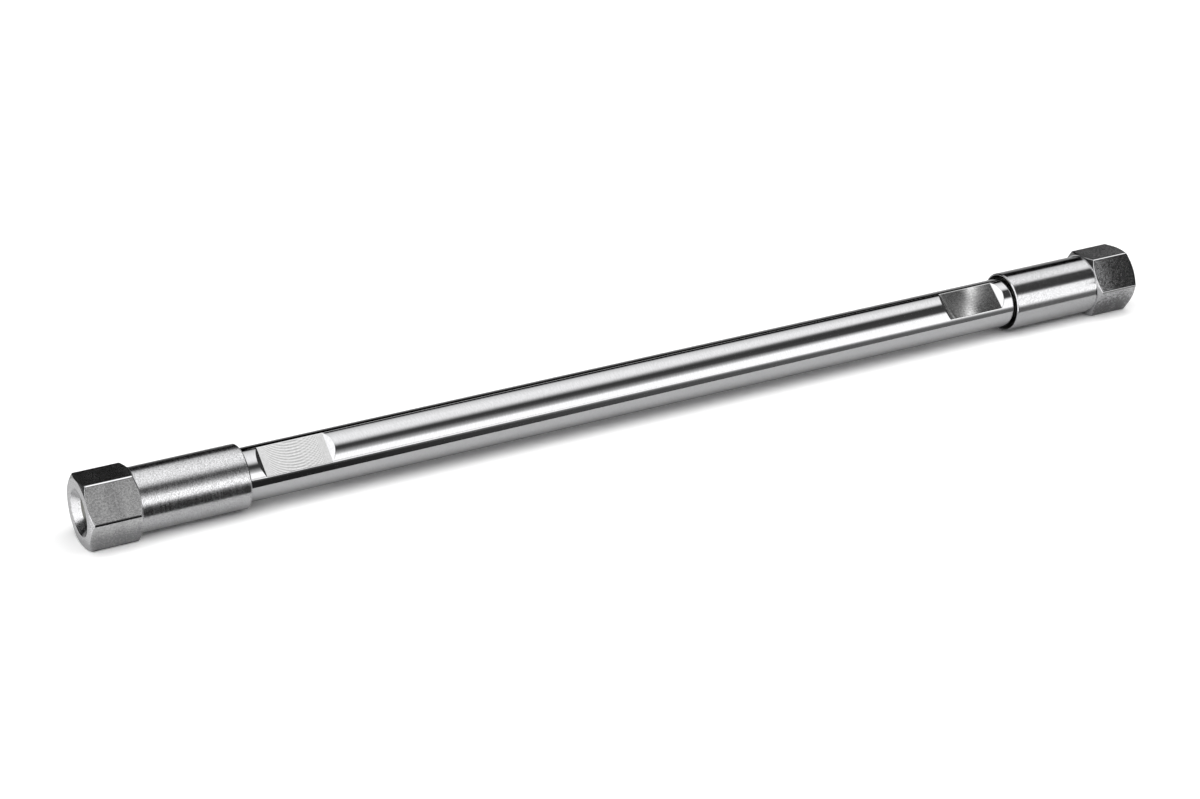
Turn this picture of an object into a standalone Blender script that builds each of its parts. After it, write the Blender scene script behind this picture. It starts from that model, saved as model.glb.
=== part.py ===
"""A packed stainless steel HPLC column of 4.6 mm bore and 150 mm length, lying on a flat surface.

The tube is threaded at both ends. On each end sits a nut turned from hexagonal bar: its long sleeve
screws over the tube, and its hexagon holds the port for the capillary. Inside each nut a frit in a
polymer seal ring closes the tube's bore, which is filled with the packed bed.

Units are metres. X runs along the column, +Z is up, and the surface that the column lies on is Z = 0.
Each end's own pieces are modelled in one local frame: its origin is the middle of the nut's outer
face, on the column's axis, and its +X points into the column.
"""

import math

import bmesh
import bpy

# Column tube
TUBE_LENGTH = 0.150
TUBE_DIAMETER = 0.008
BORE_DIAMETER = 0.0046
TUBE_END_CHAMFER = 0.0004
TUBE_BORE_CHAMFER = 0.0002

# Screw thread between the tube's end and the nut, left here as its plain outer cylinder
THREAD_LENGTH = 0.0066
THREAD_RELIEF_WIDTH = 0.0009
THREAD_RELIEF_DEPTH = 0.0005

# Pair of wrench flats near each end of the tube
FLATS_ACROSS = 0.00635
FLATS_LENGTH = 0.0102
FLATS_FROM_TUBE_END = 0.0156
FLATS_SHOULDER_SLOPE = math.radians(45)
FLATS_TILT = math.radians(43)

# End nut
PORT_FACE_FROM_TUBE_END = 0.0162
HEX_ACROSS_FLATS = 0.010
HEX_LENGTH = 0.0078
HEX_FACE_MARGIN = 0.00005
HEX_CHAMFER_SLOPE = math.radians(30)
SLEEVE_DIAMETER = 0.0096
SLEEVE_LENGTH = 0.0163
SLEEVE_EDGE_CHAMFER = 0.0002
THREAD_RUNOUT = 0.0006

# Capillary port: countersink, thread, ferrule cone and pilot, down to the fine hole
PORT_MOUTH_DIAMETER = 0.0071
PORT_THREAD_DIAMETER = 0.0048
PORT_THREAD_DEPTH = 0.0064
FERRULE_CONE_DIAMETER = 0.0029
FERRULE_CONE_LENGTH = 0.0018
PILOT_DIAMETER = 0.0016
PILOT_LENGTH = 0.0016
FINE_HOLE_DIAMETER = 0.0005
SPREADER_CONE_DIAMETER = 0.0036
SPREADER_CONE_DEPTH = 0.0004

# Frit in its seal ring
FRIT_DIAMETER = 0.0050
FRIT_THICKNESS = 0.0016
SEAL_RING_DIAMETER = 0.0070
SEAL_LIP_HOLE_DIAMETER = 0.0036
SEAL_LIP_THICKNESS = 0.0004

# Clearance between pieces that meet
CLEARANCE = 0.0003

# Sides of the round shapes, and how far a cutter runs past what it cuts
ROUND_SIDES = 72
INNER_ROUND_SIDES = 48
OVERRUN = 0.001
SHARP_EDGE_ANGLE = math.radians(25)

# Sizes that follow from the ones above
NUT_LENGTH = HEX_LENGTH + SLEEVE_LENGTH
HALF_LENGTH = TUBE_LENGTH / 2 + PORT_FACE_FROM_TUBE_END
AXIS_HEIGHT = max(HEX_ACROSS_FLATS, SLEEVE_DIAMETER) / 2
SEAL_RING_THICKNESS = SEAL_LIP_THICKNESS + CLEARANCE + FRIT_THICKNESS
SEAL_RING_FACE = PORT_FACE_FROM_TUBE_END - CLEARANCE
NUT_FLOOR = SEAL_RING_FACE - SEAL_RING_THICKNESS - CLEARANCE

STEEL_GREY = (0.60, 0.60, 0.59, 1.0)
BAR_GREY = (0.46, 0.46, 0.45, 1.0)
FRIT_GREY = (0.35, 0.35, 0.34, 1.0)
POLYMER_TAN = (0.62, 0.52, 0.38, 1.0)
PACKING_WHITE = (0.88, 0.88, 0.86, 1.0)


def clear_scene():
    for obj in list(bpy.data.objects):
        bpy.data.objects.remove(obj, do_unlink=True)


def make_material(name, colour, metallic, roughness):
    material = bpy.data.materials.new(name)
    material.use_nodes = True
    shader = material.node_tree.nodes["Principled BSDF"]
    shader.inputs["Base Color"].default_value = colour
    shader.inputs["Metallic"].default_value = metallic
    shader.inputs["Roughness"].default_value = roughness
    return material


def turned_mesh(name, profile, sides=ROUND_SIDES):
    """Turns an outline of (distance along X, radius) points round the X axis into a closed mesh."""
    shape = bmesh.new()
    points = [shape.verts.new((along, 0.0, radius)) for along, radius in profile]
    edges = [shape.edges.new(pair) for pair in zip(points, points[1:])]
    if profile[0][1] > 0:
        edges.append(shape.edges.new((points[-1], points[0])))
    bmesh.ops.spin(
        shape,
        geom=points + edges,
        cent=(0, 0, 0),
        axis=(1, 0, 0),
        angle=math.tau,
        steps=sides,
    )
    bmesh.ops.remove_doubles(shape, verts=shape.verts, dist=1e-7)
    bmesh.ops.recalc_face_normals(shape, faces=shape.faces)
    mesh = bpy.data.meshes.new(name)
    shape.to_mesh(mesh)
    shape.free()
    return mesh


def extruded_mesh(name, outline, direction):
    """Extrudes a flat outline of 3D points along a direction into a closed mesh."""
    shape = bmesh.new()
    face = shape.faces.new([shape.verts.new(point) for point in outline])
    grown = bmesh.ops.extrude_face_region(shape, geom=[face])["geom"]
    moved = [item for item in grown if isinstance(item, bmesh.types.BMVert)]
    bmesh.ops.translate(shape, verts=moved, vec=direction)
    bmesh.ops.recalc_face_normals(shape, faces=shape.faces)
    mesh = bpy.data.meshes.new(name)
    shape.to_mesh(mesh)
    shape.free()
    return mesh


def add_object(name, mesh, parent=None):
    obj = bpy.data.objects.new(name, mesh)
    bpy.context.scene.collection.objects.link(obj)
    obj.parent = parent
    return obj


def add_empty(name, location, turn=0.0, parent=None):
    """An empty that places what hangs on it, turned about Z."""
    empty = add_object(name, None, parent)
    empty.location = location
    empty.rotation_euler.z = turn
    return empty


def add_piece(name, mesh, material, parent):
    """A finished piece of the column, shaded smooth up to its real edges."""
    mesh.shade_smooth()
    mesh.set_sharp_from_angle(angle=SHARP_EDGE_ANGLE)
    piece = add_object(name, mesh, parent)
    piece.data.materials.clear()
    piece.data.materials.append(material)
    return piece


def add_boolean(obj, other, operation):
    other.hide_render = True
    other.display_type = "WIRE"
    boolean = obj.modifiers.new(operation.title() + " " + other.name, "BOOLEAN")
    boolean.operation = operation
    boolean.solver = "EXACT"
    boolean.object = other


def shaped_mesh(blank, name, tools):
    """The blank's mesh after its Boolean modifiers. The blank and its tools leave the scene."""
    bpy.context.view_layer.update()
    graph = bpy.context.evaluated_depsgraph_get()
    mesh = bpy.data.meshes.new_from_object(blank.evaluated_get(graph))
    mesh.name = name
    for obj in [blank] + tools:
        bpy.data.objects.remove(obj, do_unlink=True)
    return mesh


def flats_cutter(name, end_sign, side_turn):
    """A cutter for one wrench flat: a flat floor between two sloping shoulders."""
    floor = FLATS_ACROSS / 2
    top = TUBE_DIAMETER / 2 + OVERRUN
    half_floor = FLATS_LENGTH / 2
    half_top = half_floor + (top - floor) / math.tan(FLATS_SHOULDER_SLOPE)
    half_width = TUBE_DIAMETER / 2 + OVERRUN
    outline = [
        (-half_floor, -half_width, floor),
        (half_floor, -half_width, floor),
        (half_top, -half_width, top),
        (-half_top, -half_width, top),
    ]
    cutter = add_object(name, extruded_mesh(name, outline, (0, 2 * half_width, 0)))
    cutter.location.x = end_sign * (TUBE_LENGTH / 2 - FLATS_FROM_TUBE_END)
    cutter.rotation_euler.x = FLATS_TILT + side_turn
    return cutter


def tube_mesh():
    """The turned tube with its two threaded ends, and two parallel flats milled near each end."""
    outer = TUBE_DIAMETER / 2
    bore = BORE_DIAMETER / 2
    relief = outer - THREAD_RELIEF_DEPTH
    end = TUBE_LENGTH / 2
    thread_start = end - THREAD_LENGTH
    relief_start = thread_start - THREAD_RELIEF_WIDTH
    half_outside = [
        (relief_start, outer),
        (relief_start, relief),
        (thread_start, relief),
        (thread_start, outer),
        (end - TUBE_END_CHAMFER, outer),
        (end, outer - TUBE_END_CHAMFER),
        (end, bore + TUBE_BORE_CHAMFER),
        (end - TUBE_BORE_CHAMFER, bore),
    ]
    other_half = [(-along, radius) for along, radius in reversed(half_outside)]
    blank = add_object("tube_blank", turned_mesh("tube_blank", half_outside + other_half))
    cutters = []
    for end_sign in (-1, 1):
        for side_turn in (0.0, math.pi):
            cutter = flats_cutter(f"flat_cutter_{len(cutters)}", end_sign, side_turn)
            add_boolean(blank, cutter, "DIFFERENCE")
            cutters.append(cutter)
    return shaped_mesh(blank, "column_tube", cutters)


def hexagon_bar():
    """Hexagonal bar for the head, a little longer than it, lying on one of its flats."""
    corner = HEX_ACROSS_FLATS / 2 / math.cos(math.pi / 6)
    outline = []
    for side in range(6):
        angle = side * math.pi / 3
        outline.append((-OVERRUN, corner * math.cos(angle), corner * math.sin(angle)))
    return add_object(
        "hexagon_bar",
        extruded_mesh("hexagon_bar", outline, (HEX_LENGTH + 2 * OVERRUN, 0, 0)),
    )


def head_envelope():
    """The turned shape that chamfers the hexagon's corners at both ends of the head."""
    face = HEX_ACROSS_FLATS / 2 - HEX_FACE_MARGIN
    widest = HEX_ACROSS_FLATS / 2 / math.cos(math.pi / 6) + OVERRUN
    rise = (widest - face) * math.tan(HEX_CHAMFER_SLOPE)
    profile = [
        (0, 0),
        (0, face),
        (rise, widest),
        (HEX_LENGTH - rise, widest),
        (HEX_LENGTH, face),
        (HEX_LENGTH, 0),
    ]
    return add_object("head_envelope", turned_mesh("head_envelope", profile))


def sleeve_blank():
    """The round sleeve, which starts inside the head."""
    radius = SLEEVE_DIAMETER / 2
    profile = [
        (HEX_LENGTH / 2, 0),
        (HEX_LENGTH / 2, radius),
        (NUT_LENGTH - SLEEVE_EDGE_CHAMFER, radius),
        (NUT_LENGTH, radius - SLEEVE_EDGE_CHAMFER),
        (NUT_LENGTH, 0),
    ]
    return add_object("sleeve_blank", turned_mesh("sleeve_blank", profile))


def bore_cutter():
    """Everything drilled and bored in the nut: the port, the seat of the seal ring and the tube's bore."""
    mouth = PORT_MOUTH_DIAMETER / 2
    port = PORT_THREAD_DIAMETER / 2
    cone = FERRULE_CONE_DIAMETER / 2
    pilot = PILOT_DIAMETER / 2
    fine = FINE_HOLE_DIAMETER / 2
    spreader = SPREADER_CONE_DIAMETER / 2
    chamber = SEAL_RING_DIAMETER / 2 + CLEARANCE
    tube_bore = TUBE_DIAMETER / 2 + CLEARANCE
    countersink_depth = mouth - port
    thread_end = countersink_depth + PORT_THREAD_DEPTH
    cone_start = thread_end + port - cone
    pilot_start = cone_start + FERRULE_CONE_LENGTH
    fine_start = pilot_start + PILOT_LENGTH
    chamber_end = PORT_FACE_FROM_TUBE_END - THREAD_RUNOUT
    profile = [
        (-OVERRUN, 0),
        (-OVERRUN, mouth + OVERRUN),
        (countersink_depth, port),
        (thread_end, port),
        (cone_start, cone),
        (pilot_start, pilot),
        (fine_start, pilot),
        (fine_start, fine),
        (NUT_FLOOR - SPREADER_CONE_DEPTH, fine),
        (NUT_FLOOR, spreader),
        (NUT_FLOOR, chamber),
        (chamber_end, chamber),
        (chamber_end, tube_bore),
        (NUT_LENGTH + OVERRUN, tube_bore),
        (NUT_LENGTH + OVERRUN, 0),
    ]
    return add_object("bore_cutter", turned_mesh("bore_cutter", profile))


def nut_mesh():
    """The end nut: a chamfered hexagonal head and a round sleeve in one piece, drilled and bored."""
    blank = hexagon_bar()
    envelope = head_envelope()
    sleeve = sleeve_blank()
    cutter = bore_cutter()
    add_boolean(blank, envelope, "INTERSECT")
    add_boolean(blank, sleeve, "UNION")
    add_boolean(blank, cutter, "DIFFERENCE")
    return shaped_mesh(blank, "end_nut", [envelope, sleeve, cutter])


def seal_ring_mesh():
    """The polymer ring: a pocket for the frit, open to the tube, and a lip on the nut's side."""
    back = SEAL_RING_FACE - SEAL_RING_THICKNESS
    outer = SEAL_RING_DIAMETER / 2
    pocket = FRIT_DIAMETER / 2 + CLEARANCE
    lip = SEAL_LIP_HOLE_DIAMETER / 2
    profile = [
        (back, outer),
        (back, lip),
        (back + SEAL_LIP_THICKNESS, lip),
        (back + SEAL_LIP_THICKNESS, pocket),
        (SEAL_RING_FACE, pocket),
        (SEAL_RING_FACE, outer),
    ]
    return turned_mesh("seal_ring", profile, INNER_ROUND_SIDES)


def plain_cylinder_mesh(name, start, end, diameter):
    radius = diameter / 2
    profile = [(start, 0), (start, radius), (end, radius), (end, 0)]
    return turned_mesh(name, profile, INNER_ROUND_SIDES)


def frit_mesh():
    """The porous steel disc that covers the tube's bore."""
    return plain_cylinder_mesh(
        "frit", SEAL_RING_FACE - FRIT_THICKNESS, SEAL_RING_FACE, FRIT_DIAMETER
    )


def bed_mesh():
    """The packing, which fills the tube's bore from end to end."""
    return plain_cylinder_mesh(
        "packed_bed", -TUBE_LENGTH / 2, TUBE_LENGTH / 2, BORE_DIAMETER - 2 * CLEARANCE
    )


def build():
    clear_scene()
    polished_steel = make_material("polished_steel", STEEL_GREY, 1.0, 0.18)
    turned_steel = make_material("turned_steel", BAR_GREY, 1.0, 0.32)
    sintered_steel = make_material("sintered_steel", FRIT_GREY, 1.0, 0.70)
    seal_polymer = make_material("seal_polymer", POLYMER_TAN, 0.0, 0.45)
    packing = make_material("packing", PACKING_WHITE, 0.0, 0.90)

    axis = add_empty("column_axis", (0, 0, AXIS_HEIGHT))
    add_piece("column_tube", tube_mesh(), polished_steel, axis)
    add_piece("packed_bed", bed_mesh(), packing, axis)

    nut, ring, frit = nut_mesh(), seal_ring_mesh(), frit_mesh()
    for end, along, turn in (("inlet", -HALF_LENGTH, 0.0), ("outlet", HALF_LENGTH, math.pi)):
        place = add_empty(end + "_end", (along, 0, 0), turn, axis)
        add_piece(end + "_end_nut", nut, turned_steel, place)
        add_piece(end + "_seal_ring", ring, seal_polymer, place)
        add_piece(end + "_frit", frit, sintered_steel, place)


build()
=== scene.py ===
"""The looks of a steel HPLC column: a polished tube between two nuts turned from hexagonal bar.

Laid out as a Blender add-on and run as a script. X runs along the column, +Z is up, and the column
lies on Z = 0. The turned pieces are grids of two parameters: a position along a closed outline of
(distance along X, radius) points, and an angle round the column's axis, counted from +Y to +Z.
"""

import math
from functools import partialmethod

import bmesh
import bpy
import numpy as np
from bpy.props import FloatProperty, FloatVectorProperty, PointerProperty
from bpy.types import Operator, Panel, PropertyGroup
from mathutils import Matrix, Vector


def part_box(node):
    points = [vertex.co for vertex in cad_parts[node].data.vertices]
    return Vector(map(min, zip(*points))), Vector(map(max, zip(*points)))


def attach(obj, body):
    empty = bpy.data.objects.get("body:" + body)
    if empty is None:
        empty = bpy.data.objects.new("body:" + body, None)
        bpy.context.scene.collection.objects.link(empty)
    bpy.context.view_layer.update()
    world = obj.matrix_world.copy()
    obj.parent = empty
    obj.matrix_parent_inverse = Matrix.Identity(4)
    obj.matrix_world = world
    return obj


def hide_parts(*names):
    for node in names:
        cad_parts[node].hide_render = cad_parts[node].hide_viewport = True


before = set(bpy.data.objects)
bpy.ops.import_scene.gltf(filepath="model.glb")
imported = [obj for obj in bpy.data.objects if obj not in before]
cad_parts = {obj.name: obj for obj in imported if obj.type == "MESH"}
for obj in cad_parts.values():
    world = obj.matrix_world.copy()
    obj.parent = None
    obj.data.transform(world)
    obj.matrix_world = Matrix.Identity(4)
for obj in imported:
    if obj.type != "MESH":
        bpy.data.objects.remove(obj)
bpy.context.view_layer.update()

bl_info = {
    "name": "HPLC column",
    "version": (1, 0, 0),
    "blender": (4, 5, 0),
    "location": "3D View > Sidebar > Column",
    "description": "Dresses the packed model of an HPLC column with its steel surfaces and threads",
    "category": "Object",
}

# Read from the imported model
TUBE_LOW, TUBE_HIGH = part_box("column_tube")
NUT_LOW, NUT_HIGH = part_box("inlet_end_nut")
AXIS_HEIGHT = (TUBE_LOW.z + TUBE_HIGH.z) / 2
TUBE_RADIUS = (TUBE_HIGH.z - TUBE_LOW.z) / 2
TUBE_HALF_LENGTH = TUBE_HIGH.x
HEX_ACROSS_FLATS = NUT_HIGH.z - NUT_LOW.z
NUT_LENGTH = NUT_HIGH.x - NUT_LOW.x
HALF_LENGTH = -NUT_LOW.x

MM = 0.001
MICRON = 0.000001


def length(name, description, millimetres):
    """A length property in metres, whose default is given in millimetres."""
    default = millimetres * MM
    return FloatProperty(
        name=name, description=description, default=default, min=0, unit="LENGTH", precision=5
    )


def angle(name, description, degrees):
    """An angle property, whose default is given in degrees."""
    return FloatProperty(
        name=name, description=description, default=math.radians(degrees), unit="ROTATION"
    )


def share(name, description, default):
    """A plain number from 0 to 1."""
    return FloatProperty(
        name=name, description=description, default=default, min=0, max=1, subtype="FACTOR"
    )


def colour(name, description, default):
    """A colour property, without alpha."""
    return FloatVectorProperty(
        name=name, description=description, default=default, size=3, min=0, max=1, subtype="COLOR"
    )


class TubeSettings(PropertyGroup):
    """The column tube: its bore, its milled flats and its threaded ends."""

    bore_radius: length("Bore radius", "Inner radius of the tube", 2.3)
    end_chamfer: length("End chamfer", "Chamfer at each end of the tube", 0.4)
    flats_across: length("Across flats", "Distance between two opposite flats", 6.35)
    flats_length: length("Flat length", "Length of a flat's floor", 10.2)
    flats_from_end: length("Flat from end", "From the tube's end to a flat's middle", 15.6)
    flats_tilt: angle("Flat tilt", "Direction that the upper flats face, up from level", 47)
    shoulder_slope: angle("Shoulder slope", "Slope of the shoulders at a flat's ends", 45)
    thread_length: length("Thread length", "Length of the thread at each end", 6.6)
    thread_pitch: length("Thread pitch", "Pitch of the thread under the nut", 0.75)
    thread_depth: length("Thread depth", "Depth of the thread under the nut", 0.46)
    relief_width: length("Relief width", "Width of the groove behind the thread", 0.9)
    relief_depth: length("Relief depth", "Depth of the groove behind the thread", 0.5)
    edge_radius: length("Edge rounding", "Rounding of the tube's edges", 0.05)


class NutSettings(PropertyGroup):
    """The end nuts: hexagon, sleeve, capillary port and the thread for the tube."""

    hex_length: length("Hexagon length", "Length of the hexagonal head", 7.8)
    face_margin: length("Face margin", "How far the face circle lies inside the flats", 0.05)
    chamfer_slope: angle("Chamfer slope", "Slope of the hexagon's chamfers", 30)
    corner_radius: length("Corner rounding", "Rounding of the hexagon's long edges", 0.4)
    edge_radius: length("Edge rounding", "Rounding of the turned edges", 0.06)
    sleeve_radius: length("Sleeve radius", "Outer radius of the sleeve", 4.8)
    sleeve_chamfer: length("Sleeve chamfer", "Chamfer at the sleeve's mouth", 0.16)
    mouth_chamfer: length("Mouth chamfer", "Chamfer inside the sleeve's mouth", 0.04)
    guide_radius: length("Guide bore radius", "Radius of the bore at the sleeve's mouth", 4.54)
    guide_depth: length("Guide bore depth", "Depth of the plain bore in the mouth", 1.0)
    thread_gap: length("Thread gap", "Radial gap between the two threads", 0.04)
    chamber_radius: length("Chamber radius", "Radius of the seal ring's chamber", 3.8)
    chamber_start: length("Chamber start", "From the outer face to the chamber's floor", 13.3)
    chamber_end: length("Chamber end", "From the outer face to the chamber's mouth", 15.6)
    port_mouth_radius: length("Port mouth radius", "Radius of the countersink", 3.55)
    port_radius: length("Port radius", "Root radius of the port's thread", 2.4)
    port_crest_radius: length("Port crest radius", "Crest radius of the port's thread", 2.02)
    port_pitch: length("Port pitch", "Pitch of the port's thread", 0.794)
    port_thread_end: length("Port thread end", "From the outer face to the end of thread", 7.5)
    cone_radius: length("Cone radius", "Radius of the ferrule cone's mouth", 1.45)
    cone_length: length("Cone length", "Length of the ferrule cone", 1.8)
    pilot_radius: length("Pilot radius", "Radius of the capillary's pilot bore", 0.8)
    pilot_length: length("Pilot length", "Length of the capillary's pilot bore", 1.6)
    fine_hole_radius: length("Fine hole radius", "Radius of the hole to the frit", 0.25)
    spreader_radius: length("Spreader radius", "Radius of the cone above the frit", 1.8)
    spreader_depth: length("Spreader depth", "Depth of the cone above the frit", 0.4)


class FinishSettings(PropertyGroup):
    """Colours and roughness of the steels, the seal polymer and the packing."""

    tube_colour: colour("Tube steel", "Colour of the polished tube", (0.67, 0.67, 0.68))
    tube_roughness: share("Tube roughness", "Roughness of the polished tube", 0.06)
    sleeve_colour: colour("Turned steel", "Colour of the turned nuts", (0.65, 0.65, 0.66))
    sleeve_roughness: share("Turned roughness", "Roughness of the turned nuts", 0.15)
    bar_colour: colour("Bar steel", "Colour of the hexagon's drawn flats", (0.70, 0.70, 0.71))
    bar_roughness: share("Bar roughness", "Roughness of the hexagon's drawn flats", 0.21)
    edge_colour: colour("Burnished steel", "Colour of the hexagon's edges", (0.92, 0.92, 0.93))
    # Painted shade: the dark colour of the nuts' threads and bores stands in for the shade in them
    bore_shade_colour: colour("Shaded steel", "Colour of the nuts' threads and bores", (0.16, 0.16, 0.15))
    milled_colour: colour("Milled steel", "Colour of the tube's flats", (0.795, 0.795, 0.795))
    frit_colour: colour("Frit steel", "Colour of the sintered frit", (0.36, 0.36, 0.36))
    seal_colour: colour("Seal polymer", "Colour of the seal rings", (0.62, 0.52, 0.38))
    packing_colour: colour("Packing", "Colour of the packed bed", (0.88, 0.88, 0.86))
    mill_radius: length("Mill radius", "Radius of the cutter that milled the flats", 5.1)
    mill_feed: length("Mill feed", "Distance between the cutter's marks", 0.46)


class StageSettings(PropertyGroup):
    """Camera, floor and studio light."""

    azimuth: angle("Azimuth", "The camera's direction round the column", -27.8854)
    elevation: angle("Elevation", "The camera's height above the column", 21.8897)
    roll: angle("Roll", "The camera's roll", -1.7849)
    distance: length("Distance", "From the camera to the point that it looks at", 406.9)
    target_x: FloatProperty(
        name="Target",
        description="Where the camera looks along the column",
        default=-8.37 * MM,
        unit="LENGTH",
        precision=5,
    )
    target_below_axis: length("Target height", "How far it looks below the axis", 0.94)
    lens: FloatProperty(name="Lens", description="Focal length", default=79.687, unit="CAMERA")
    floor_colour: colour("Floor", "Colour of the floor", (0.56, 0.56, 0.56))
    board_start: length("Board start", "How far the board reaches beyond the inlet", 1.2)
    board_inlet: length("Board at inlet", "How far the inlet end reaches to the front", 8.95)
    board_middle: length("Board at middle", "How far the middle reaches to the front", 9.85)
    board_outlet: length("Board at outlet", "How far the outlet end reaches to the front", 11.7)
    board_back: length("Board back", "How far the board reaches to the back", 16.0)
    flag_middle: length("Flag middle", "From the outlet's face to what mirrors the flag", 3.6)
    flag_distance: length("Flag distance", "From the outlet's front flat to the flag", 22.0)
    flag_edge: length("Flag edge", "How far the flag reaches towards the column's middle", 3.2)
    flag_width: length("Flag width", "How far the flag reaches the other way", 10.0)
    flag_height: length("Flag height", "Half of the flag's height", 9.0)


SIDES_PER_FLAT = 28
TUBE_SIDES = 180
THREAD_ROWS_PER_TURN = 15
SKIN = 1e-7
SIXTH = math.pi / 3
TURNED = "turned_length"
# A rounded knot: the steps along its parabola, how far away the rows lie that hold the faces beside
# it flat, as a multiple of the rounding, and the most that it may take of a side
ROUNDING_STEPS = (0.0, 0.25, 0.5, 0.75, 1.0)
HOLD_REACH = 1.6
LARGEST_SHARE = 0.3
ROWS_PER_KNOT = len(ROUNDING_STEPS) + 2


def rounded_outline(group, before, after):
    """Rows along a group of (knot, radius) pairs, between one row before and one row after it.

    A knot has the shape (angle, 2). At each knot the outline leaves the last side at a distance of
    the radius, follows a parabola to the same distance along the next side, and has one more row
    on each side to hold the flat faces flat.
    """
    knots = [before] + [knot for knot, _ in group] + [after]
    rows = []
    for index, (here, radius) in enumerate(group):
        sides = np.stack([knots[index] - here, knots[index + 2] - here])
        lengths = np.linalg.norm(sides, axis=-1, keepdims=True)
        cut = np.minimum(radius, LARGEST_SHARE * lengths.min(axis=0))
        to_last, to_next = sides / np.maximum(lengths, SKIN)
        start, end = here + cut * to_last, here + cut * to_next
        rows.append(here + HOLD_REACH * cut * to_last)
        for t in ROUNDING_STEPS:
            rows.append((1 - t) ** 2 * start + 2 * t * (1 - t) * here + t**2 * end)
        rows.append(here + HOLD_REACH * cut * to_next)
    return rows


def grid_piece(name, rows, angles, marks, materials):
    """A closed surface whose rows go round the axis at the given angles.

    A point of a row is (along, radius cos angle, axis height + radius sin angle). marks gives each
    cell's material. Cells with no area are merged away, and faces point outwards.
    """
    grid = np.stack(rows)
    along, radius = grid[..., 0], grid[..., 1]
    points = np.stack(
        [along, radius * np.cos(angles), AXIS_HEIGHT + radius * np.sin(angles)], axis=-1
    ).reshape(-1, 3)
    here = np.arange(radius.size).reshape(radius.shape)
    beside, onward = np.roll(here, -1, axis=1), np.roll(here, -1, axis=0)
    quads = np.stack([here, beside, np.roll(onward, -1, axis=1), onward], axis=-1).reshape(-1, 4)
    first, second, third, fourth = np.moveaxis(points[quads], 1, 0)
    if (first * (np.cross(second, third) + np.cross(third, fourth))).sum() < 0:
        quads = quads[:, ::-1]

    mesh = bpy.data.meshes.new(name)
    mesh.vertices.add(len(points))
    mesh.vertices.foreach_set("co", points.ravel())
    mesh.loops.add(quads.size)
    mesh.loops.foreach_set("vertex_index", quads.ravel())
    mesh.polygons.add(len(quads))
    mesh.polygons.foreach_set("loop_start", np.arange(0, quads.size, 4))
    mesh.polygons.foreach_set("material_index", np.asarray(marks).ravel())
    mesh.update(calc_edges=True)
    steps = np.linalg.norm(np.diff(grid, axis=0), axis=-1).mean(axis=1)
    outline_length = np.repeat(np.concatenate([[0.0], np.cumsum(steps)]), len(angles))
    turned = mesh.attributes.new(TURNED, "FLOAT", "POINT")
    turned.data.foreach_set("value", outline_length.astype(np.float32))

    merged = bmesh.new()
    merged.from_mesh(mesh)
    bmesh.ops.remove_doubles(merged, verts=merged.verts, dist=SKIN)
    bmesh.ops.dissolve_degenerate(merged, edges=merged.edges, dist=SKIN)
    merged.to_mesh(mesh)
    merged.free()
    mesh.shade_smooth()
    for material in materials:
        mesh.materials.append(material)
    return new_object(name, mesh)


def thread_height(along, angles, pitch):
    """Height of a right-hand screw thread, 0 at its root and 1 at its crest.

    The phase is along / pitch less the angle's share of a turn. The section is a symmetric V whose
    root is flat over a quarter of the pitch and whose crest is flat over an eighth.
    """
    phase = (along / pitch - angles / math.tau) % 1.0
    from_crest = np.abs(phase - 0.5) * 2
    return np.clip((0.875 - from_crest) / 0.625, 0, 1)


def new_object(name, data):
    item = bpy.data.objects.new(name, data)
    bpy.context.scene.collection.objects.link(item)
    return item


def row_of(along, radius):
    """Points of a row, or of many rows: (distance along X, radius)."""
    return np.stack([along, radius], axis=-1)


def thread_places(first, last, pitch):
    """A column of places from first to last, close enough together to show each turn."""
    return np.linspace(first, last, int(abs(last - first) / pitch * THREAD_ROWS_PER_TURN))[:, None]


def ease(value, start, end):
    """0 before start, 1 after end, and a smooth step between."""
    t = np.clip((value - start) / (end - start), 0, 1)
    return t * t * (3 - 2 * t)


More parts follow.
